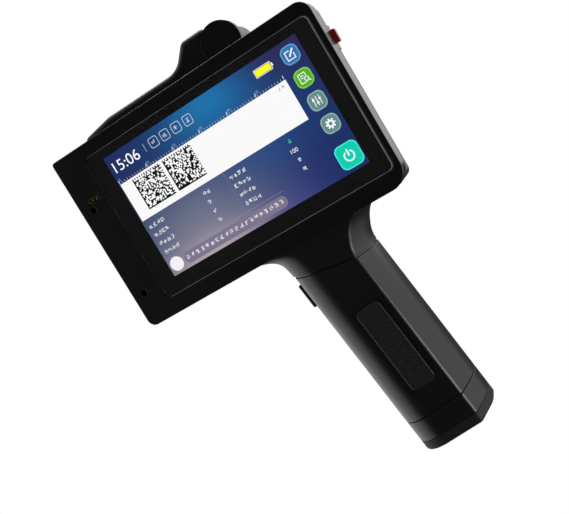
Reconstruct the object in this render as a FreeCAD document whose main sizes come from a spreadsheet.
import FreeCAD, Part
import math
import os
import Sketcher
from FreeCAD import Rotation, Vector

# Handheld date code inkjet printer. +Z is up, the screen faces -Y and the print face looks along -X.
# The origin is the centre of the flat base of the handle.
# Head pieces are drawn in the head's own frame: x and z from the middle of the display module,
# y from the face of the glass towards the back.
# Handle pieces are drawn in the handle's own frame: z along the raked handle, from its flat base.

SIZES = {
    # display module
    "head_width": 143.8, "head_height": 91.4, "tablet_depth": 12, "tablet_wall": 2, "tablet_face": 2.4,
    "corner_top_front": 1.5, "corner_low_front": 4, "corner_top_rear": 6, "corner_low_rear": 9,
    "glass_left": 15.9, "glass_right": 2.9, "glass_top": 6.3, "glass_low": 8.1, "glass_thickness": 1.1,
    "glass_corner": 3, "glass_gap": 0.15,
    "panel_width": 118, "panel_height": 73, "panel_thickness": 2.9, "panel_gap": 0.3, "panel_corner": 1,
    "carrier_plate": 1, "carrier_margin": 1.2, "standoff_height": 1.6, "standoff_radius": 2.4,
    "board_thickness": 1.6, "board_margin": 3, "back_plate": 2, "plate_gap": 0.15,
    "cable_port": 24, "port_corner": 2,
    "strip_hole_radius": 1.6, "strip_hole_pitch": 46, "strip_hole_edge": 6.4, "strip_hole_drop": 8.3,
    "contact_width": 1.2, "contact_height": 2, "contact_pitch": 2.5, "contact_recess": 0.8,
    "contact_rise": 4.6, "recess_corner": 0.5,
    # body behind the display module
    "body_depth": 33, "body_wall": 2.2, "body_front_inset": 3, "body_rear_inset": 3.8,
    "body_corner": 3.5, "shell_split": 16, "back_round": 2, "boss_radius": 3.2, "screw_radius": 1.25,
    "screw_head_radius": 2.4, "screw_head_depth": 1.8, "screw_head_gap": 0.2, "screw_grip": 4.8,
    "screw_inset": 7, "screw_low_inset": 28, "slit_width": 0.8, "slit_depth": 0.8,
    # handle
    "rake": 7.2, "handle_length": 114.9, "neck_offset": 17.45, "handle_width": 38.9, "handle_depth": 40,
    "handle_front_flat": 13.3, "handle_shoulder": 17, "round_front": 13, "round_edge": 2.5,
    "round_side": 28, "round_back": 12, "glass_stand": 22, "seam_tilt": 15, "neck_length": 16.3,
    "ring_thickness": 1.2, "ring_inset": 0.6, "cap_height": 16, "pad_height": 5.2, "pad_round": 1,
    "seam_gap": 0.3, "seam_round": 0.4, "neck_bore": 24, "neck_bore_depth": 40, "seam_reach": 60,
    "neck_swell": 0.5, "neck_front_flare": 12.5, "neck_rear_flare": 11.75,
    # battery
    "battery_width": 27, "battery_depth": 31, "battery_room": 4, "battery_shift": 1,
    "battery_wall": 1.2, "battery_corner": 6.5, "battery_gap": 0.3, "tube_wall": 1.2, "tube_gap": 0.2,
    "cell_thickness": 5.8, "cell_gap": 0.1, "cell_side": 2, "cell_count": 4, "block_width": 16,
    "block_depth": 12, "block_shift": 1, "block_height": 3,
    # trigger
    "trigger_width": 12, "trigger_length": 13, "trigger_drop": 12.8, "trigger_proud": 2.8,
    "trigger_travel": 1.5, "trigger_gap": 0.3, "trigger_flange": 1.2, "trigger_lip": 0.9,
    "trigger_side": 2, "trigger_corner": 0.8, "trigger_round": 0.7, "switch_gap": 0.1,
    "switch_depth": 7, "switch_width": 8, "switch_length": 8,
    # label plate
    "label_width": 12.9, "label_length": 45, "label_drop": 47, "label_shift": 2.4, "label_proud": 0.6,
    "label_corner": 2.5,
    # power button
    "button_width": 4, "button_length": 6.2, "button_proud": 2.3, "button_rise": 26,
    "button_back": 4.3, "button_travel": 1.2, "button_gap": 0.25, "button_depth": 9, "button_corner": 0.6,
    "surround_width": 8.5, "surround_length": 12, "surround_back": 0.5, "surround_root": 0.5,
    "key_switch_length": 9, "key_switch_height": 7, "key_switch_lift": 0.2,
    # cartridge and its bay
    "cartridge_width": 26, "cartridge_length": 60.5, "cartridge_height": 66, "snout_length": 21,
    "snout_height": 26, "snout_width": 21, "nozzle_set": 1, "bay_wall": 1, "bay_gap": 0.15,
    "bay_height": 60, "cartridge_top": 45, "snout_rise": 2, "tank_round": 4, "tank_foot": 2,
    "snout_round": 1, "nozzle_plate": 0.4, "nozzle_width": 10, "nozzle_edge": 5,
    "flex_thickness": 0.15, "flex_start": 4, "flex_length": 22, "flex_width": 16,
    "pin_radius": 0.45, "pin_height": 3.05, "pin_edge": 3, "pin_pitch": 4, "pin_row": 5,
    # print face
    "plate_thickness": 1.5, "plate_inset": 1.5, "plate_lift": 1, "plate_corner": 4,
    "window_height": 22, "window_width": 17, "window_corner": 2, "slot_corner": 1, "slot_trim": 1,
    "wheel_radius": 9, "wheel_width": 6, "tyre_thickness": 1.8, "axle_radius": 1.5, "axle_gap": 1.3,
    "axle_end": 0.3, "running_gap": 0.05, "wheel_side_gap": 1.2, "ear_thickness": 2, "ear_gap": 0.2,
    "ear_width": 8, "encoder_drop": 34, "roller_rise": 27, "slot_gap": 0.8, "bracket_plate": 2,
    "bracket_gap": 1, "sensor_board": 1.2, "sensor_width": 10, "sensor_height": 8, "sensor_shift": 2,
    "eye_depth": 2.2, "eye_size": 4,
    # lid and its hinge
    "lid_gap": 0.3, "lid_wall": 2.2, "lid_rise": 6.2, "hump_rise": 16.1, "lid_front": 14.4,
    "nose_height": 3, "nose_round": 3.2, "ridge_start": 17, "ridge_round": 9, "ridge_end": 1,
    "ridge_dip": 11, "hump_start": 9.8, "hump_round": 5, "lid_end": 4.3, "end_round": 2.5,
    "lid_side": 1.5, "lid_round": 3, "hollow_start": 6, "hollow_end": 13.5, "hollow_round": 4,
    "hollow_corner": 1, "hinge_x": 26.9, "hinge_rise": 5.5, "barrel_radius": 7.8, "barrel_gap": 0.4,
    "cheek_radius": 10, "cheek_width": 4,
    "hinge_pin_radius": 1.5, "pin_inset": 1.5, "knuckle_radius": 4.2, "knuckle_width": 4,
    "knuckle_gap": 0.4, "knuckle_spread": 12, "arm_above": 2.5, "arm_below": 2, "arm_root": 0.5,
    "housing_floor": 1.8, "housing_foot": 6.2,
    # ports
    "port_board": 1.6, "port_board_y": 22, "port_board_width": 16, "port_board_low": 3,
    "port_board_high": 2, "usb_height": 13.1, "usb_depth": 6, "usb_length": 14, "usb_wall": 0.4,
    "usb_rise": 0, "usb_floor": 1, "tongue_thickness": 1.9, "tongue_side": 1, "tongue_set": 2,
    "jack_size": 9, "jack_hole": 2.8, "jack_pin": 1, "jack_length": 12, "jack_floor": 2,
    "jack_drop": 18, "jack_sink": 1.4, "port_gap": 0.3,
}

# How far a cutting block runs past the face that it opens.
PAST = 1

# Components on the main board: middle x and z, width, height, thickness.
CHIPS = [(-20, 8, 14, 14, 1.2), (2, 12, 11, 8, 1.1), (2, 0, 11, 8, 1.1), (-44, -16, 9, 9, 1.4),
         (30, 24, 22, 5, 1.3), (-46, 18, 6, 18, 1.3)]

# Sections of the neck: drop below the head, and the share left of the front and the rear flare.
NECK_SECTIONS = [(0, 1, 1), (1.5, 0.54, 0.8), (4, 0.2, 0.54), (9, 0.03, 0.23), (15, 0, 0), (22, 0, 0),
                 (30, 0, 0)]

doc = FreeCAD.newDocument("printer")
sheet = doc.addObject("Spreadsheet::Sheet", "Sizes")
parts = []


class Size:
    """A length that holds its value and the sheet formula that gives it."""

    def __init__(self, value, text):
        self.value = value
        self.text = text

    def join(self, other, sign, result):
        return Size(result, "(%s %s %s)" % (self.text, sign, size(other).text))

    def __add__(self, other):
        return self.join(other, "+", self.value + size(other).value)

    def __radd__(self, other):
        return size(other) + self

    def __sub__(self, other):
        return self.join(other, "-", self.value - size(other).value)

    def __rsub__(self, other):
        return size(other) - self

    def __mul__(self, other):
        return self.join(other, "*", self.value * size(other).value)

    def __rmul__(self, other):
        return size(other) * self

    def __truediv__(self, other):
        return self.join(other, "/", self.value / size(other).value)

    def __neg__(self):
        return 0 - self


def size(value):
    """Wrap a plain number as a Size."""
    return value if isinstance(value, Size) else Size(value, "(%r)" % value)


def sine(angle):
    return Size(math.sin(math.radians(angle.value)), "sin(%s)" % angle.text)


def cosine(angle):
    return Size(math.cos(math.radians(angle.value)), "cos(%s)" % angle.text)


class Sheet:
    """Reads the driving sizes by name, as Size values bound to the sheet."""

    def __getattr__(self, name):
        return Size(float(SIZES[name]), "Sizes.%s" % name)


s = Sheet()


def fill_sheet():
    for row, (name, value) in enumerate(SIZES.items(), start=1):
        sheet.set("A%d" % row, name)
        sheet.set("B%d" % row, str(value))
        sheet.setAlias("B%d" % row, name)
    doc.recompute()


def bind(obj, path, value):
    obj.setExpression(path, size(value).text)


def move(obj, x=0, y=0, z=0):
    """Bind an object's place inside its own frame."""
    for axis, value in zip("xyz", (x, y, z)):
        bind(obj, "Placement.Base.%s" % axis, value)
    return obj


def whole(obj):
    """Give a sub-part that is one plain block or bar a placement besides its own."""
    return group(obj) if obj.TypeId in ("Part::Box", "Part::Cylinder") else obj


def in_head(obj, label):
    """Name a finished sub-part and place it with the head's frame."""
    obj = whole(obj)
    obj.Label = label
    move(obj, -s.handle_length * sine(s.rake) - s.neck_offset, -s.glass_stand,
         s.handle_length * cosine(s.rake) + s.head_height / 2)
    parts.append(obj)
    return obj


def in_handle(obj, label):
    """Name a finished sub-part and turn it with the raked handle."""
    obj = whole(obj)
    obj.Label = label
    obj.Placement.Rotation = Rotation(Vector(0, -1, 0), s.rake.value)
    bind(obj, "Placement.Rotation.Angle", s.rake)
    parts.append(obj)
    return obj


def box(x, y, z):
    """A block between the low and high values given for each axis."""
    solid = doc.addObject("Part::Box", "Block")
    for name, (low, high) in zip(("Length", "Width", "Height"), (x, y, z)):
        bind(solid, name, size(high) - low)
    return move(solid, x[0], y[0], z[0])


TURNS = {"x": Rotation(Vector(0, 1, 0), 90), "y": Rotation(Vector(1, 0, 0), -90), "z": Rotation()}


def cylinder(radius, length, at, axis="z"):
    """A round bar of the given length that starts at a point and runs along +axis."""
    solid = doc.addObject("Part::Cylinder", "Bar")
    bind(solid, "Radius", radius)
    bind(solid, "Height", length)
    solid.Placement.Rotation = TURNS[axis]
    return move(solid, *at)


def join(*shapes):
    solid = doc.addObject("Part::MultiFuse", "Joined")
    solid.Shapes = list(shapes)
    return solid


def cut(base, *tools):
    solid = doc.addObject("Part::Cut", "Cut")
    solid.Base = base
    solid.Tool = tools[0] if len(tools) == 1 else join(*tools)
    return solid


def common(first, second):
    solid = doc.addObject("Part::MultiCommon", "Shared")
    solid.Shapes = [first, second]
    return solid


def group(*solids):
    """Like pieces that stay separate solids."""
    together = doc.addObject("Part::Compound", "Group")
    together.Links = list(solids)
    return together


def pin_point(sketch, geometry, position, x, y):
    """Fix a sketch point at distances from the sketch's origin."""
    for kind, value in (("DistanceX", size(x)), ("DistanceY", size(y))):
        index = sketch.addConstraint(Sketcher.Constraint(kind, -1, 1, geometry, position, value.value))
        sketch.setExpression("Constraints[%d]" % index, value.text)


def corner_arc(before, corner, after, radius):
    """Give the two tangent points and the arc that rounds one corner, and its turning side."""
    arriving = (corner - before).normalize()
    leaving = (after - corner).normalize()
    turn = arriving.getAngle(leaving)
    left = arriving.cross(leaving).z > 0
    reach = radius * math.tan(turn / 2)
    start = corner - arriving * reach
    end = corner + leaving * reach
    side = Vector(-arriving.y, arriving.x, 0) * (radius if left else -radius)
    centre = start + side
    first, last = (start, end) if left else (end, start)
    low = math.atan2(first.y - centre.y, first.x - centre.x)
    high = math.atan2(last.y - centre.y, last.x - centre.x)
    if high < low:
        high += 2 * math.pi
    arc = Part.ArcOfCircle(Part.Circle(centre, Vector(0, 0, 1), radius), low, high)
    return start, end, arc, left


def outline(sketch, corners):
    """Draw a closed outline through corners (x, y, radius), anticlockwise, with tangent roundings."""
    count = len(corners)
    points = [Vector(size(x).value, size(y).value, 0) for x, y, radius in corners]
    radii = [size(radius) for x, y, radius in corners]
    rounds = []
    for i in range(count):
        after = points[(i + 1) % count]
        radius = radii[i].value
        arc = corner_arc(points[i - 1], points[i], after, radius) if radius > 0 else None
        rounds.append(arc or (points[i], points[i], None, True))
    lines = []
    for i in range(count):
        lines.append(sketch.addGeometry(Part.LineSegment(rounds[i][1], rounds[(i + 1) % count][0])))
    for i in range(count):
        before, after = lines[i - 1], lines[i]
        arc, left = rounds[i][2], rounds[i][3]
        x, y = corners[i][0], corners[i][1]
        if arc is None:
            sketch.addConstraint(Sketcher.Constraint("Coincident", before, 2, after, 1))
            pin_point(sketch, after, 1, x, y)
            continue
        bend = sketch.addGeometry(arc)
        first, last = (1, 2) if left else (2, 1)
        sketch.addConstraint(Sketcher.Constraint("Tangent", before, 2, bend, first))
        sketch.addConstraint(Sketcher.Constraint("Tangent", after, 1, bend, last))
        index = sketch.addConstraint(Sketcher.Constraint("Radius", bend, radii[i].value))
        sketch.setExpression("Constraints[%d]" % index, radii[i].text)
        mark = sketch.addGeometry(Part.Point(points[i]), True)
        pin_point(sketch, mark, 1, x, y)
        sketch.addConstraint(Sketcher.Constraint("PointOnObject", mark, 1, before))
        sketch.addConstraint(Sketcher.Constraint("PointOnObject", mark, 1, after))


def rectangle(x0, x1, y0, y1, radius=0):
    return [(x0, y0, radius), (x1, y0, radius), (x1, y1, radius), (x0, y1, radius)]


def circle(sketch, x, y, radius):
    ring = sketch.addGeometry(Part.Circle(Vector(size(x).value, size(y).value, 0), Vector(0, 0, 1),
                                          size(radius).value))
    pin_point(sketch, ring, 3, x, y)
    index = sketch.addConstraint(Sketcher.Constraint("Radius", ring, size(radius).value))
    sketch.setExpression("Constraints[%d]" % index, size(radius).text)


def body_sketch(body, plane, offset=0):
    """An empty sketch on one of the body's own origin planes, moved along the plane's normal."""
    sketch = body.newObject("Sketcher::SketchObject", "Sketch")
    support = [face for face in body.Origin.OriginFeatures if face.Role == plane][0]
    sketch.AttachmentSupport = (support, [""])
    sketch.MapMode = "FlatFace"
    bind(sketch, "AttachmentOffset.Base.z", offset)
    return sketch


def new_body():
    return doc.addObject("PartDesign::Body", "Body")


def pad(body, corners, low, high):
    """Pad an outline drawn in X and Z between two depths along +Y."""
    sketch = body_sketch(body, "XZ_Plane", -size(high))
    outline(sketch, corners)
    feature = body.newObject("PartDesign::Pad", "Pad")
    feature.Profile = sketch
    bind(feature, "Length", size(high) - low)
    return feature


def cut_out(feature):
    """Recompute a cutting feature and make sure that it took something away."""
    before = feature.BaseFeature.Shape.Volume
    doc.recompute()
    if feature.Shape.Volume >= before - 1e-3:
        raise RuntimeError("%s cuts nothing" % feature.Name)
    return feature


def pocket(body, corners, low, high, holes=()):
    """Pocket an outline, or round holes, drawn in X and Z between two depths along Y."""
    doc.recompute()
    sketch = body_sketch(body, "XZ_Plane", -size(low))
    if corners:
        outline(sketch, corners)
    for x, y, radius in holes:
        circle(sketch, x, y, radius)
    feature = body.newObject("PartDesign::Pocket", "Pocket")
    feature.Profile = sketch
    bind(feature, "Length", size(high) - low)
    return cut_out(feature)


def slot(body, plane, corners, low, high):
    """Pocket an outline on the XY or YZ plane between two heights along that plane's normal."""
    doc.recompute()
    sketch = body_sketch(body, plane, high)
    outline(sketch, corners)
    feature = body.newObject("PartDesign::Pocket", "Slot")
    feature.Profile = sketch
    bind(feature, "Length", size(high) - low)
    return cut_out(feature)


def round_edges(body, radius, wanted):
    """Round the edges of the body's tip that the test picks."""
    doc.recompute()
    base = body.Tip
    names = ["Edge%d" % (i + 1) for i, edge in enumerate(base.Shape.Edges) if wanted(edge)]
    feature = body.newObject("PartDesign::Fillet", "Round")
    feature.Base = (base, names)
    bind(feature, "Radius", radius)
    doc.recompute()
    return feature


def lies_at(edge, axis, value):
    """Tell if a whole edge lies in the plane where one coordinate has the given value."""
    box_of_edge = edge.BoundBox
    low = getattr(box_of_edge, axis + "Min")
    high = getattr(box_of_edge, axis + "Max")
    return abs(low - value) < 1e-4 and abs(high - value) < 1e-4


# ---------------------------------------------------------------- display module

half_w = s.head_width / 2
half_h = s.head_height / 2
glass_x = (-half_w + s.glass_left, half_w - s.glass_right)
glass_z = (-half_h + s.glass_low, half_h - s.glass_top)
panel_mid = ((glass_x[0] + glass_x[1]) / 2, (glass_z[0] + glass_z[1]) / 2)
panel_x = (panel_mid[0] - s.panel_width / 2, panel_mid[0] + s.panel_width / 2)
panel_z = (panel_mid[1] - s.panel_height / 2, panel_mid[1] + s.panel_height / 2)
strip_x = -half_w + s.strip_hole_edge
strip_z = (-half_h + s.glass_low + s.strip_hole_drop, s.strip_hole_pitch)
contact_z = strip_z[0] + s.strip_hole_pitch + s.contact_rise
contact_x = strip_x + s.contact_pitch
panel_back = s.glass_thickness + s.panel_thickness
board_y = panel_back + s.carrier_plate + s.standoff_height
port_x = (s.neck_offset - s.cable_port / 2, s.neck_offset + s.cable_port / 2)


def head_outline(inset=0):
    """The display module's outline, with its four different corners, moved inwards."""
    x = half_w - inset
    z = half_h - inset
    return [(-x, -z, s.corner_low_front), (x, -z, s.corner_low_rear), (x, z, s.corner_top_rear),
            (-x, z, s.corner_top_front)]


def tablet_frame():
    """Moulded frame round the glass, with the blank strip that carries the contacts and two holes."""
    body = new_body()
    pad(body, head_outline(), 0, s.tablet_depth)
    inner = head_outline(s.tablet_wall)
    inner = [(x, z, s.corner_top_front) for x, z, radius in inner]
    pocket(body, inner, s.tablet_face, s.tablet_depth)
    seat = rectangle(glass_x[0] - s.glass_gap, glass_x[1] + s.glass_gap, glass_z[0] - s.glass_gap,
                     glass_z[1] + s.glass_gap, s.glass_corner)
    pocket(body, seat, 0, s.glass_thickness)
    window = rectangle(panel_x[0] - s.panel_gap, panel_x[1] + s.panel_gap, panel_z[0] - s.panel_gap,
                       panel_z[1] + s.panel_gap, s.panel_corner)
    pocket(body, window, 0, s.tablet_face)
    holes = [(strip_x, strip_z[0], s.strip_hole_radius),
             (strip_x, strip_z[0] + s.strip_hole_pitch, s.strip_hole_radius)]
    pocket(body, None, 0, s.tablet_face, holes)
    recess_x = s.contact_pitch + s.contact_width
    recess = rectangle(contact_x - recess_x, contact_x + recess_x, contact_z - s.contact_height,
                       contact_z + s.contact_height, s.recess_corner)
    pocket(body, recess, 0, s.contact_recess)
    round_edges(body, s.seam_round, lambda edge: lies_at(edge, "Y", 0) and edge_is_outer(edge))
    in_head(body, "tablet_frame")


def edge_is_outer(edge):
    """Tell if an edge of the front face belongs to the module's outer outline."""
    limits = edge.BoundBox
    reach = max(abs(limits.XMin), abs(limits.XMax)) - half_w.value
    rise = max(abs(limits.ZMin), abs(limits.ZMax)) - half_h.value
    return abs(reach) < 1e-3 or abs(rise) < 1e-3


def touch_glass():
    body = new_body()
    pad(body, rectangle(*glass_x, *glass_z, s.glass_corner), 0, s.glass_thickness)
    in_head(body, "touch_glass")


def lcd_panel():
    in_head(box(panel_x, (s.glass_thickness, panel_back), panel_z), "lcd_panel")


def standoff_places():
    """The four fixing points of the main board, inside the panel's outline."""
    inset = 2 * s.standoff_radius
    return [(x, z) for x in (panel_x[0] + inset, panel_x[1] - inset)
            for z in (panel_z[0] + inset, panel_z[1] - inset)]


def display_carrier():
    """Pressed steel plate behind the panel, with four standoffs for the main board."""
    edge = s.carrier_margin
    plate = box((panel_x[0] - edge, panel_x[1] + edge), (panel_back, panel_back + s.carrier_plate),
                (panel_z[0] - edge, panel_z[1] + edge))
    posts = [cylinder(s.standoff_radius, s.standoff_height, (x, panel_back + s.carrier_plate, z), "y")
             for x, z in standoff_places()]
    in_head(join(plate, *posts), "display_carrier")


def main_board():
    edge = s.board_margin
    board = box((glass_x[0] + edge, glass_x[1] - edge), (board_y, board_y + s.board_thickness),
                (glass_z[0] + edge, glass_z[1] - edge))
    holes = [cylinder(s.screw_radius, s.board_thickness, (x, board_y, z), "y")
             for x, z in standoff_places()]
    in_head(cut(board, *holes), "main_board")


def board_chips():
    """Processor, two memory chips, power converter and two cable sockets on the main board."""
    face = board_y + s.board_thickness
    chips = [box((size(x) - w / 2, size(x) + w / 2), (face, face + t), (size(z) - d / 2, size(z) + d / 2))
             for x, z, w, d, t in CHIPS]
    in_head(group(*chips), "board_chips")


def tablet_back():
    """Inner cover that closes the display module, with a port for the cables."""
    body = new_body()
    reach = s.tablet_wall + s.plate_gap
    plate = [(x, z, s.corner_top_front) for x, z, radius in head_outline(reach)]
    pad(body, plate, s.tablet_depth - s.back_plate, s.tablet_depth)
    port = rectangle(*port_x, -s.cable_port / 2, s.cable_port / 2, s.port_corner)
    pocket(body, port, s.tablet_depth - s.back_plate, s.tablet_depth)
    in_head(body, "tablet_back")


def status_contacts():
    """Three gilt contact bars in the recess of the strip."""
    bars = [box((contact_x + s.contact_pitch * i - s.contact_width / 2,
                 contact_x + s.contact_pitch * i + s.contact_width / 2),
                (s.contact_recess / 2, s.contact_recess),
                (contact_z - s.contact_height / 2, contact_z + s.contact_height / 2))
            for i in (-1, 0, 1)]
    in_head(group(*bars), "status_contacts")


# ---------------------------------------------------------------- body shells

body_x = (-half_w + s.body_front_inset, half_w - s.body_rear_inset)
split_y = s.tablet_depth + s.shell_split
body_back = s.tablet_depth + s.body_depth
mid_y = s.tablet_depth + s.body_depth / 2
inner_y = (s.tablet_depth + s.body_wall, body_back - s.body_wall)
inner_x = (body_x[0] + s.body_wall, body_x[1] - s.body_wall)

cartridge_y = (mid_y - s.cartridge_width / 2, mid_y + s.cartridge_width / 2)
cartridge_z = (s.cartridge_top - s.cartridge_height, s.cartridge_top)
snout_x = (body_x[0] + s.nozzle_set, body_x[0] + s.nozzle_set + s.snout_length)
cartridge_x = (snout_x[1], snout_x[1] + s.cartridge_length)
snout_y = (mid_y - s.snout_width / 2, mid_y + s.snout_width / 2)
snout_z = (cartridge_z[0] + s.snout_rise, cartridge_z[0] + s.snout_rise + s.snout_height)
bay_x = (cartridge_x[0] - s.bay_gap - s.bay_wall, cartridge_x[1] + s.bay_gap + s.bay_wall)
bay_y = (inner_y[0] + s.bay_gap, inner_y[1] - s.bay_gap)
bay_z = (cartridge_z[0] - s.bay_gap - s.bay_wall, cartridge_z[0] - s.bay_gap + s.bay_height)
wheel_x = inner_x[0] + s.axle_radius + s.axle_gap
wheel_z = (-s.encoder_drop, s.roller_rise)
button_y = s.tablet_depth + s.button_back
button_z = s.button_rise
surround_y = (s.tablet_depth + s.surround_back, s.tablet_depth + s.surround_back + s.surround_width)
surround_z = (button_z - s.surround_length / 2, button_z + s.surround_length / 2)
usb_z = (s.usb_rise - s.usb_height / 2, s.usb_rise + s.usb_height / 2)
usb_y = (s.port_board_y - s.usb_depth, s.port_board_y)
jack_z = (-s.jack_drop - s.jack_size / 2, -s.jack_drop + s.jack_size / 2)
jack_y = (s.port_board_y - s.jack_size + s.jack_sink, s.port_board_y)
neck_bore_x = (s.neck_offset - s.neck_bore / 2, s.neck_offset + s.neck_bore / 2)
neck_bore_y = (s.glass_stand - s.neck_bore / 2, s.glass_stand + s.neck_bore / 2)
screw_places = [(body_x[0] + s.screw_inset, half_h - s.screw_inset),
                (body_x[1] - s.screw_inset, half_h - s.screw_inset),
                (body_x[1] - s.screw_inset, -half_h + s.screw_inset),
                (body_x[0] + s.screw_low_inset, -half_h + s.screw_inset)]


def shell_cuts(body):
    """Openings that both shells share: bay mouth, neck, print window and wheel slots."""
    bay = rectangle(bay_x[0], bay_x[1], bay_y[0], bay_y[1])
    slot(body, "XY_Plane", bay, half_h - 2 * s.body_wall, half_h + PAST)
    neck = rectangle(neck_bore_x[0], neck_bore_x[1], neck_bore_y[0], neck_bore_y[1])
    slot(body, "XY_Plane", neck, -half_h - PAST, -half_h + 2 * s.body_wall)
    deep = (body_x[0] - PAST, inner_x[0] + PAST)
    window = rectangle(snout_y[0] - s.bay_gap, snout_y[1] + s.bay_gap, snout_z[0] - s.bay_gap,
                       snout_z[1] + s.bay_gap)
    slot(body, "YZ_Plane", window, *deep)
    for z in wheel_z:
        half = s.wheel_width / 2 + s.slot_gap
        reach = s.wheel_radius + s.slot_gap
        slot(body, "YZ_Plane", rectangle(mid_y - reach, mid_y + reach, z - half, z + half), *deep)


def front_shell():
    """Front half of the body: a tray whose floor backs the display module."""
    body = new_body()
    pad(body, rectangle(*body_x, -half_h, half_h, s.body_corner), s.tablet_depth, split_y)
    inside = rectangle(*inner_x, -half_h + s.body_wall, half_h - s.body_wall, s.body_corner - s.body_wall)
    pocket(body, inside, inner_y[0], split_y)
    port = rectangle(*port_x, -s.cable_port / 2, s.cable_port / 2, s.port_corner)
    pocket(body, port, s.tablet_depth, inner_y[0])
    shell_cuts(body)
    rear = (inner_x[1] - PAST, body_x[1] + PAST)
    slot(body, "YZ_Plane", rectangle(*surround_y, *surround_z), *rear)
    for y, z in ((usb_y, usb_z), (jack_y, jack_z)):
        gap = s.port_gap
        slot(body, "YZ_Plane", rectangle(y[0] - gap, y[1] + gap, z[0] - gap, z[1] + gap), *rear)
    depth = split_y - inner_y[0]
    bosses = [cylinder(s.boss_radius, depth, (x, inner_y[0], z), "y") for x, z in screw_places]
    bores = [cylinder(s.screw_radius, depth, (x, inner_y[0], z), "y") for x, z in screw_places]
    in_head(cut(join(body, *bosses), *bores), "front_shell")


def back_shell():
    """Back half of the body, a tray with rounded outer edges and countersunk screw holes."""
    body = new_body()
    pad(body, rectangle(*body_x, -half_h, half_h, s.body_corner), split_y, body_back)
    round_edges(body, s.back_round, lambda edge: lies_at(edge, "Y", body_back.value))
    inside = rectangle(*inner_x, -half_h + s.body_wall, half_h - s.body_wall, s.body_corner - s.body_wall)
    pocket(body, inside, split_y, inner_y[1])
    shell_cuts(body)
    bosses = [cylinder(s.boss_radius, inner_y[1] - split_y, (x, split_y, z), "y") for x, z in screw_places]
    bores = [cylinder(s.screw_radius, body_back - split_y, (x, split_y, z), "y") for x, z in screw_places]
    heads = [cylinder(s.screw_head_radius + s.screw_head_gap, s.screw_head_depth + PAST,
                      (x, body_back - s.screw_head_depth, z), "y") for x, z in screw_places]
    in_head(cut(join(body, *bosses), *bores, *heads), "back_shell")


def housing_screws():
    """Four screws that draw the two shells together from the back."""
    screws = []
    head = body_back - s.screw_head_depth
    tip = split_y - s.screw_grip
    half = s.slit_width / 2
    for x, z in screw_places:
        shank = cylinder(s.screw_radius, head - tip, (x, tip, z), "y")
        cap = cylinder(s.screw_head_radius, s.screw_head_depth, (x, head, z), "y")
        slit = box((x - s.screw_head_radius, x + s.screw_head_radius),
                   (body_back - s.slit_depth, body_back + PAST), (z - half, z + half))
        screws.append(cut(join(shank, cap), slit))
    in_head(group(*screws), "housing_screws")


# ---------------------------------------------------------------- print face

def print_plate():
    """Stainless guard plate on the print face, with the nozzle window and two wheel slots."""
    body = new_body()
    doc.recompute()
    sketch = body_sketch(body, "YZ_Plane", body_x[0] - s.plate_thickness)
    edge = s.plate_inset
    outline(sketch, rectangle(s.tablet_depth + edge, body_back - edge, -half_h + edge + s.plate_lift,
                              half_h - edge, s.plate_corner))
    feature = body.newObject("PartDesign::Pad", "Pad")
    feature.Profile = sketch
    bind(feature, "Length", s.plate_thickness)
    deep = (body_x[0] - s.plate_thickness - PAST, body_x[0] + PAST)
    mid = (snout_z[0] + snout_z[1]) / 2
    slot(body, "YZ_Plane", rectangle(mid_y - s.window_width / 2, mid_y + s.window_width / 2,
                                     mid - s.window_height / 2, mid + s.window_height / 2, s.window_corner),
         *deep)
    for z in wheel_z:
        half = s.wheel_width / 2 + s.slot_gap
        reach = s.wheel_radius + s.slot_gap - s.slot_trim
        gate = rectangle(mid_y - reach, mid_y + reach, z - half, z + half, s.slot_corner)
        slot(body, "YZ_Plane", gate, *deep)
    in_head(body, "print_plate")


def wheel(z, names):
    """A hub with a rubber tyre, which turns on its axle in the mouth of its slot."""
    low = z - s.wheel_width / 2
    rim = s.wheel_radius - s.tyre_thickness
    bore = cylinder(s.axle_radius + s.running_gap, s.wheel_width, (wheel_x, mid_y, low))
    hub = cut(cylinder(rim, s.wheel_width, (wheel_x, mid_y, low)), bore)
    in_head(hub, names[0])
    hole = cylinder(rim, s.wheel_width, (wheel_x, mid_y, low))
    in_head(cut(cylinder(s.wheel_radius, s.wheel_width, (wheel_x, mid_y, low)), hole), names[1])


def wheel_parts():
    """Axles, and the brackets that hold them against the back shell."""
    wheel(wheel_z[0], ("encoder_hub", "encoder_tyre"))
    wheel(wheel_z[1], ("roller_hub", "roller_tyre"))
    axles = []
    brackets = []
    inner = s.wheel_width / 2 + s.wheel_side_gap
    outer = inner + s.ear_thickness
    base = wheel_x + s.wheel_radius + s.bracket_gap
    length = 2 * (outer + s.axle_end)
    ear_x = (inner_x[0] + s.ear_gap, base)
    ear_y = (mid_y - s.ear_width / 2, mid_y + s.ear_width / 2)
    for z in wheel_z:
        start = (wheel_x, mid_y, z - length / 2)
        axles.append(cylinder(s.axle_radius, length, start))
        ears = [box(ear_x, ear_y, (z + inner, z + outer)), box(ear_x, ear_y, (z - outer, z - inner))]
        foot = box((base, base + s.bracket_plate), (ear_y[0], inner_y[1]), (z - outer, z + outer))
        hole = cylinder(s.axle_radius, length, start)
        brackets.append(cut(join(*ears, foot), hole))
    in_head(group(*axles), "wheel_axles")
    in_head(group(*brackets), "wheel_brackets")
    encoder_sensor(base + s.bracket_plate)


def encoder_sensor(x):
    """Small board behind the encoder wheel's bracket, with the optical sensor on it."""
    middle = mid_y + s.sensor_shift
    z = wheel_z[0]
    face = x + s.sensor_board
    board = box((x, face), (middle - s.sensor_width / 2, middle + s.sensor_width / 2),
                (z - s.sensor_height / 2, z + s.sensor_height / 2))
    eye = box((face, face + s.eye_depth), (middle - s.eye_size / 2, middle + s.eye_size / 2),
              (z - s.eye_size / 2, z + s.eye_size / 2))
    in_head(join(board, eye), "encoder_sensor")


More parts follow.
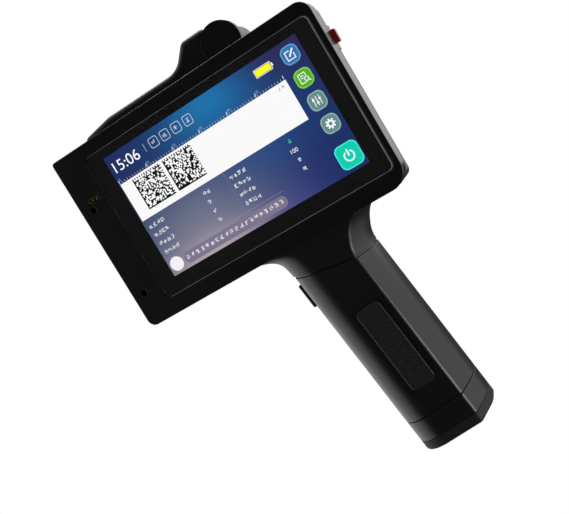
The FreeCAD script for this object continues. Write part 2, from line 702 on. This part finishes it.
# ---------------------------------------------------------------- cartridge

flex_x = (cartridge_x[0] + s.flex_start, cartridge_x[0] + s.flex_start + s.flex_length)
flex_y = (mid_y - s.flex_width / 2, mid_y + s.flex_width / 2)


def cartridge_bay():
    """Open-topped carriage that guides the cartridge to the print window."""
    gap = s.bay_gap
    block = box(bay_x, bay_y, bay_z)
    hollow = box((cartridge_x[0] - gap, cartridge_x[1] + gap), (cartridge_y[0] - gap, cartridge_y[1] + gap),
                 (cartridge_z[0] - gap, bay_z[1] + PAST))
    mouth = box((bay_x[0] - PAST, cartridge_x[0]), (snout_y[0] - gap, snout_y[1] + gap),
                (snout_z[0] - gap, snout_z[1] + gap))
    pins = box((flex_x[0] - PAST, flex_x[1] + PAST), (flex_y[0] - PAST, flex_y[1] + PAST),
               (bay_z[0] - PAST, cartridge_z[0]))
    in_head(cut(block, hollow, mouth, pins), "cartridge_bay")


def ink_cartridge():
    """Half-inch inkjet cartridge: a flat tank with a narrower snout towards the print face."""
    body = new_body()
    small = s.snout_round
    large = s.tank_round
    near, far = cartridge_x
    profile = [(snout_x[0], snout_z[0], small), (near, snout_z[0], 0), (near, cartridge_z[0], small),
               (far, cartridge_z[0], s.tank_foot), (far, cartridge_z[1], large),
               (near, cartridge_z[1], large), (near, snout_z[1], 0), (snout_x[0], snout_z[1], small)]
    pad(body, profile, *cartridge_y)
    doc.recompute()
    for side in ((cartridge_y[0], snout_y[0]), (snout_y[1], cartridge_y[1])):
        strip = rectangle(snout_x[0] - PAST, cartridge_x[0], snout_z[0] - PAST, snout_z[1] + PAST)
        pocket(body, strip, *side)
    in_head(body, "ink_cartridge")
    nozzles = box((snout_x[0] - s.nozzle_plate, snout_x[0]),
                  (mid_y - s.nozzle_width / 2, mid_y + s.nozzle_width / 2),
                  (snout_z[0] + s.nozzle_edge, snout_z[1] - s.nozzle_edge))
    in_head(nozzles, "nozzle_plate")
    in_head(box(flex_x, flex_y, (cartridge_z[0] - s.flex_thickness, cartridge_z[0])), "cartridge_flex")


def contact_board():
    """Small board under the bay whose sprung pins press on the cartridge's contacts."""
    low = cartridge_z[0] - s.flex_thickness - s.pin_height
    pins = [cylinder(s.pin_radius, s.pin_height,
                     (flex_x[0] + s.pin_edge + column * s.pin_pitch, mid_y + row * s.pin_row, low))
            for column in range(5) for row in (-1, 0, 1)]
    board = box(flex_x, flex_y, (low - s.board_thickness, low))
    in_head(join(board, *pins), "contact_board")


# ---------------------------------------------------------------- lid and hinge

hinge_z = half_h + s.hinge_rise
lid_y = (s.tablet_depth + s.lid_side, body_back - s.lid_side)
lid_low = half_h + s.lid_gap
knuckle_y = [mid_y - s.knuckle_spread / 2, mid_y + s.knuckle_spread / 2]


def bay_lid():
    """Lid over the cartridge bay: a low ridge that rises to the hinge hump and wraps its barrel."""
    body = new_body()
    ridge = half_h + s.lid_rise
    hump = half_h + s.hump_rise
    front = -half_w + s.lid_front
    top_end = s.hinge_x - s.lid_end
    profile = [(front, lid_low, 0), (top_end, lid_low, 0), (top_end, hump, s.end_round),
               (s.hump_start, hump, s.hump_round), (s.ridge_end, ridge, s.ridge_dip),
               (front + s.ridge_start, ridge, s.ridge_round), (front, lid_low + s.nose_height, s.nose_round)]
    pad(body, profile, *lid_y)
    flank = (lid_y[0].value, lid_y[1].value)

    def on_top(edge):
        """Edges of the two flanks that follow the top of the lid."""
        side = any(lies_at(edge, "Y", y) for y in flank)
        upper = edge.BoundBox.ZMax > lid_low.value + PAST
        return side and upper and edge.BoundBox.XMin < top_end.value - 0.1

    round_edges(body, s.lid_round, on_top)
    wall = s.lid_wall
    start = front + s.hollow_start
    small = s.hollow_corner
    hollow = [(start, lid_low - PAST, 0), (s.hollow_end, lid_low - PAST, 0),
              (s.hollow_end, hump - wall, small), (s.hump_start + wall / 2, hump - wall, small),
              (s.ridge_end + wall / 2, ridge - wall, s.hollow_round),
              (front + s.ridge_start, ridge - wall, s.hollow_round), (start, lid_low + small, small)]
    pocket(body, hollow, lid_y[0] + wall, lid_y[1] - wall)
    cheek_end = lid_y[0] + s.cheek_width + s.barrel_gap
    cheek = [(s.hinge_x, hinge_z, s.cheek_radius + s.barrel_gap)]
    pocket(body, None, lid_y[0] - PAST, cheek_end, cheek)
    barrel = [(s.hinge_x, hinge_z, s.barrel_radius + s.barrel_gap)]
    pocket(body, None, cheek_end, lid_y[1] + PAST, barrel)
    arms = []
    bores = []
    for y in knuckle_y:
        low = y - s.knuckle_width / 2
        at = (s.hinge_x, low, hinge_z)
        arms.append(cylinder(s.knuckle_radius, s.knuckle_width, at, "y"))
        arms.append(box((s.hollow_end + s.arm_root, s.hinge_x), (low, low + s.knuckle_width),
                        (hinge_z - s.arm_below, hinge_z + s.arm_above)))
        bores.append(cylinder(s.hinge_pin_radius + s.running_gap, s.knuckle_width, at, "y"))
    in_head(cut(join(body, *arms), *bores), "bay_lid")


def hinge_housing():
    """Fixed barrel of the hinge behind its round cheek, slotted at the left for the lid's knuckles."""
    depth = lid_y[1] - lid_y[0]
    barrel = cylinder(s.barrel_radius, depth, (s.hinge_x, lid_y[0], hinge_z), "y")
    cheek = cylinder(s.cheek_radius, s.cheek_width, (s.hinge_x, lid_y[0], hinge_z), "y")
    foot = box((s.hinge_x - s.housing_foot, s.hinge_x + s.barrel_radius), lid_y, (half_h, hinge_z))
    reach = s.cheek_radius + PAST
    half = s.knuckle_width / 2 + s.knuckle_gap
    slots = []
    for y in knuckle_y:
        slots.append(box((s.hinge_x - reach, s.hinge_x + s.arm_above + s.knuckle_gap), (y - half, y + half),
                         (half_h + s.housing_floor, hinge_z + reach)))
        at = (s.hinge_x, y - half, hinge_z)
        slots.append(cylinder(s.knuckle_radius + s.knuckle_gap, 2 * half, at, "y"))
    start = (s.hinge_x, lid_y[0] + s.pin_inset, hinge_z)
    bore = cylinder(s.hinge_pin_radius, depth - s.pin_inset, start, "y")
    above = box((s.hinge_x - reach, s.hinge_x + reach), lid_y, (half_h, hinge_z + reach))
    in_head(cut(common(join(barrel, cheek, foot), above), bore, *slots), "hinge_housing")
    in_head(cylinder(s.hinge_pin_radius, depth - 1.2 * s.pin_inset, start, "y"), "hinge_pin")


# ---------------------------------------------------------------- power button and ports

def power_button():
    """Red push button in a raised surround on the rear end."""
    surround_x = (inner_x[1] - s.surround_root, half_w)
    block = box(surround_x, surround_y, surround_z)
    gap = s.button_gap
    half = (s.button_width / 2, s.button_length / 2)
    hole = box((surround_x[0] - PAST, half_w + PAST), (button_y - half[0] - gap, button_y + half[0] + gap),
               (button_z - half[1] - gap, button_z + half[1] + gap))
    in_head(cut(block, hole), "button_surround")
    out = half_w + s.button_proud
    body = new_body()
    side = rectangle(out - s.button_depth, out, button_z - half[1], button_z + half[1], s.button_corner)
    pad(body, side, button_y - half[0], button_y + half[0])
    in_head(body, "power_button")
    face = out - s.button_depth - s.button_travel - s.switch_gap
    rise = s.key_switch_height / 2
    switch = box((face - s.key_switch_length, face), (inner_y[0] + s.key_switch_lift, s.port_board_y),
                 (button_z - rise, button_z + rise))
    in_head(switch, "power_switch")


def port_board():
    """Power board with the service socket and the charging jack at its edge."""
    y = (s.port_board_y, s.port_board_y + s.port_board)
    rear = inner_x[1] - s.tube_gap
    board = box((rear - s.port_board_width, rear), y,
                (jack_z[0] - s.port_board_low, surround_z[1] - s.port_board_high))
    in_head(board, "power_board")
    wall = s.usb_wall
    out = body_x[1]
    root = out - s.usb_length
    shell = box((root, out), usb_y, usb_z)
    mouth = box((root + s.usb_floor, out + PAST), (usb_y[0] + wall, usb_y[1] - wall),
                (usb_z[0] + wall, usb_z[1] - wall))
    tongue_y = usb_y[0] + 2 * wall
    tongue = box((root + s.usb_floor / 2, out - s.tongue_set), (tongue_y, tongue_y + s.tongue_thickness),
                 (usb_z[0] + s.tongue_side, usb_z[1] - s.tongue_side))
    in_head(join(cut(shell, mouth), tongue), "usb_port")
    root = out - s.jack_length
    block = box((root, out), jack_y, jack_z)
    centre = ((jack_y[0] + jack_y[1]) / 2, -s.jack_drop)
    bore = cylinder(s.jack_hole, s.jack_length - s.jack_floor, (root + s.jack_floor, *centre), "x")
    pin = cylinder(s.jack_pin, s.jack_length - 1.5 * s.jack_floor, (root + s.jack_floor / 2, *centre), "x")
    in_head(join(cut(block, bore), pin), "dc_jack")


# ---------------------------------------------------------------- neck and handle

seam_height = s.handle_length - s.neck_length
trigger_low = seam_height - s.trigger_drop
trigger_high = trigger_low + s.trigger_length

def handle_corners(front, back, left, right, middle=0, inset=0):
    """The handle's section: flat front, a soft front-left, a crisp front-right and a slanted side."""
    shoulder = s.handle_width / 2 - s.handle_front_flat
    return [(middle - left + inset, front + inset, s.round_front - inset),
            (middle + right - shoulder - inset, front + inset, s.round_edge),
            (middle + right - inset, front + s.handle_shoulder, s.round_side),
            (middle + right - inset, back - inset, s.round_back - inset),
            (middle - left + inset, back - inset, s.round_back - inset)]


def handle_bar(low, high, inset=0):
    """A solid bar of the handle's section between two heights along the handle."""
    half = s.handle_width / 2
    reach = s.handle_depth / 2
    body = new_body()
    sketch = body_sketch(body, "XY_Plane", low)
    outline(sketch, handle_corners(-reach, reach, half, half, 0, inset))
    feature = body.newObject("PartDesign::Pad", "Pad")
    feature.Profile = sketch
    bind(feature, "Length", size(high) - low)
    return body


def seam_block(low, high):
    """A tall block above or between two heights of the tilted seam, in the handle's frame."""
    slab = doc.addObject("Part::Box", "SeamBlock")
    reach = s.handle_width * 2
    bind(slab, "Length", 2 * reach)
    bind(slab, "Width", 2 * reach)
    bind(slab, "Height", size(high) - low)
    slab.Placement.Rotation = Rotation(Vector(0, 1, 0), s.seam_tilt.value)
    bind(slab, "Placement.Rotation.Angle", s.seam_tilt)
    x = -reach * cosine(s.seam_tilt) + size(low) * sine(s.seam_tilt)
    z = seam_height + reach * sine(s.seam_tilt) + size(low) * cosine(s.seam_tilt)
    return move(slab, x, -reach, z)


def neck_housing():
    """Flared neck between the head's underside and the tilted seam of the handle."""
    body = new_body()
    middle_y = s.glass_stand
    reach = s.handle_depth / 2
    straight = s.handle_width / 2 + s.neck_swell
    sketches = []
    for drop, front, rear in NECK_SECTIONS:
        sketch = body_sketch(body, "XY_Plane", -half_h - drop)
        middle = s.neck_offset + drop * sine(s.rake) / cosine(s.rake)
        left = straight + front * s.neck_front_flare
        right = straight + rear * s.neck_rear_flare
        outline(sketch, handle_corners(middle_y - reach, middle_y + reach, left, right, middle))
        sketches.append(sketch)
    loft = body.newObject("PartDesign::AdditiveLoft", "Loft")
    loft.Profile = sketches[0]
    loft.Sections = sketches[1:]
    doc.recompute()
    bore = box(neck_bore_x, neck_bore_y, (-half_h - s.neck_bore_depth, -half_h + PAST))
    below = seam_block(-s.seam_reach, s.ring_thickness / 2)
    holder = doc.addObject("Part::Compound", "SeamInHead")
    holder.Links = [below]
    holder.Placement.Rotation = Rotation(Vector(0, -1, 0), s.rake.value)
    bind(holder, "Placement.Rotation.Angle", s.rake)
    move(holder, s.handle_length * sine(s.rake) + s.neck_offset, s.glass_stand,
         -s.handle_length * cosine(s.rake) - half_h)
    in_head(cut(body, bore, holder), "neck_housing")


tube_x = (-s.battery_width / 2 - s.battery_gap - s.tube_wall - s.battery_shift,
          s.battery_width / 2 + s.battery_gap + s.tube_wall - s.battery_shift)
tube_y = (-s.battery_depth / 2 - s.battery_gap - s.tube_wall + s.battery_shift / 2,
          s.battery_depth / 2 + s.battery_gap + s.tube_wall + s.battery_shift / 2)
battery_top = trigger_low - s.battery_room
tube_top = battery_top + s.tube_wall + s.battery_gap


def rounded_block(x, y, low, high, radius):
    """An upright bar of rounded rectangular section."""
    body = new_body()
    sketch = body_sketch(body, "XY_Plane", low)
    outline(sketch, rectangle(*x, *y, radius))
    feature = body.newObject("PartDesign::Pad", "Pad")
    feature.Profile = sketch
    bind(feature, "Length", size(high) - low)
    return body


def grown(pair, amount):
    return (pair[0] - amount, pair[1] + amount)


def grip_sleeve():
    """Outer sleeve of the handle, from the end cap up to the tilted seam, with the trigger's slot."""
    low = s.cap_height + s.seam_gap
    bar = handle_bar(low, s.handle_length)
    round_edges(bar, s.seam_round, lambda edge: lies_at(edge, "Z", low.value))
    radius = s.battery_corner + s.battery_gap + s.tube_wall
    hollow = rounded_block(grown(tube_x, s.tube_gap), grown(tube_y, s.tube_gap), s.cap_height - PAST,
                           s.handle_length + PAST, radius)
    gap = s.trigger_gap
    half = s.trigger_width / 2 + gap
    mouth = box((-s.handle_width, tube_x[0] + PAST), (-half, half), (trigger_low - gap, trigger_high + gap))
    above = seam_block(-s.ring_thickness / 2, s.seam_reach)
    in_handle(cut(bar, hollow, mouth, above), "grip_sleeve")


def seam_ring():
    """Narrow set-back ring in the seam between neck and grip."""
    low = s.handle_length - s.neck_bore_depth
    bar = handle_bar(low, s.handle_length, s.ring_inset)
    hollow = rounded_block(grown(tube_x, s.tube_gap), grown(tube_y, s.tube_gap), low - PAST,
                           s.handle_length + PAST, s.battery_corner)
    in_handle(common(cut(bar, hollow), seam_block(-s.ring_thickness / 2, s.ring_thickness / 2)), "seam_ring")


def label_plate():
    body = new_body()
    half = s.label_width / 2
    front = -s.handle_depth / 2
    middle = seam_height - s.label_drop
    corners = rectangle(s.label_shift - half, s.label_shift + half, middle - s.label_length / 2,
                        middle + s.label_length / 2, s.label_corner)
    pad(body, corners, front - s.label_proud, front)
    in_handle(body, "label_plate")


def battery_parts():
    """Sealed pack of flat cells, the tube it slides in, and its sprung contacts at the top."""
    x = (-s.battery_width / 2 - s.battery_shift, s.battery_width / 2 - s.battery_shift)
    y = (-s.battery_depth / 2 + s.battery_shift / 2, s.battery_depth / 2 + s.battery_shift / 2)
    wall = s.battery_wall
    case = rounded_block(x, y, s.cap_height, battery_top, s.battery_corner)
    inside_y = grown(y, -wall - s.cell_side)
    hollow = box(grown(x, -wall), inside_y, (s.cap_height + wall, battery_top - wall))
    in_handle(cut(case, hollow), "battery_case")
    cells = []
    for i in range(int(s.cell_count.value)):
        low = x[0] + wall + s.cell_gap + i * (s.cell_thickness + s.cell_gap)
        cells.append(box((low, low + s.cell_thickness), grown(inside_y, -s.cell_gap),
                         (s.cap_height + wall, battery_top - wall - s.cell_side)))
    in_handle(group(*cells), "battery_cells")
    radius = s.battery_corner + s.battery_gap
    outer = rounded_block(tube_x, tube_y, s.cap_height + s.seam_gap, tube_top, radius + s.tube_wall)
    inner = rounded_block(grown(tube_x, -s.tube_wall), grown(tube_y, -s.tube_wall), s.cap_height,
                          battery_top + s.battery_gap, radius)
    in_handle(cut(outer, inner), "battery_tube")
    block = box((-s.block_width / 2, s.block_width / 2),
                (s.block_shift - s.block_depth / 2, s.block_shift + s.block_depth / 2),
                (tube_top, tube_top + s.block_height))
    in_handle(block, "contact_block")


def end_cap():
    """Cap on the lower end of the pack, and the rubber pad under it."""
    cap = handle_bar(s.pad_height, s.cap_height)
    round_edges(cap, s.seam_round, lambda edge: lies_at(edge, "Z", s.pad_height.value)
                or lies_at(edge, "Z", s.cap_height.value))
    in_handle(cap, "battery_cap")
    pad_body = handle_bar(0, s.pad_height)
    round_edges(pad_body, s.pad_round, lambda edge: lies_at(edge, "Z", 0))
    round_edges(pad_body, s.seam_round, lambda edge: lies_at(edge, "Z", s.pad_height.value))
    in_handle(pad_body, "base_pad")


def print_trigger():
    """Push trigger on the front of the handle, held in by a flange behind the sleeve's wall."""
    half = s.trigger_width / 2
    face = -s.handle_width / 2 - s.trigger_proud
    flange_x = tube_x[0] - s.tube_gap + s.switch_gap
    body = new_body()
    pad(body, rectangle(face, flange_x, trigger_low, trigger_high, s.trigger_corner), -half, half)
    near_face = (face + 2 * s.trigger_corner).value

    def on_side(edge):
        """Long upright edges beside the face of the trigger."""
        limits = edge.BoundBox
        return limits.XMax < near_face and limits.ZLength > half.value and limits.YLength < 1e-4

    round_edges(body, s.trigger_round, on_side)
    wide = half + s.trigger_side
    flange = box((flange_x, flange_x + s.trigger_flange), (-wide, wide),
                 (trigger_low - s.trigger_lip, trigger_high + s.trigger_lip))
    in_handle(join(body, flange), "print_trigger")
    end = flange_x + s.trigger_flange + s.trigger_travel + s.switch_gap
    middle = (trigger_low + trigger_high) / 2
    switch = box((end, end + s.switch_depth), (-s.switch_width / 2, s.switch_width / 2),
                 (middle - s.switch_length / 2, middle + s.switch_length / 2))
    in_handle(switch, "trigger_switch")
    board = box((end + s.switch_depth, end + s.switch_depth + s.board_thickness), tube_y,
                (trigger_low + s.trigger_side, trigger_high))
    in_handle(board, "trigger_board")


# ---------------------------------------------------------------- build and write

def check_document():
    """Stop if any object failed, or a sub-part has no valid shape."""
    for obj in doc.Objects:
        if {"Invalid", "Error"} & set(obj.State):
            raise RuntimeError("%s (%s) failed: %s" % (obj.Name, obj.Label, obj.State))
    for obj in parts:
        if obj.Shape.isNull() or not obj.Shape.isValid():
            raise RuntimeError("%s has no valid shape" % obj.Label)


def write_parts():
    os.makedirs("parts", exist_ok=True)
    for obj in parts:
        obj.Shape.exportStep("parts/%s.step" % obj.Label)


fill_sheet()
for make in (tablet_frame, touch_glass, lcd_panel, display_carrier, main_board, board_chips, tablet_back,
             status_contacts, front_shell, back_shell, housing_screws, print_plate, wheel_parts,
             cartridge_bay, ink_cartridge, contact_board, bay_lid, hinge_housing, power_button, port_board,
             neck_housing, grip_sleeve, seam_ring, label_plate, battery_parts, end_cap, print_trigger):
    make()
doc.recompute()
check_document()
write_parts()
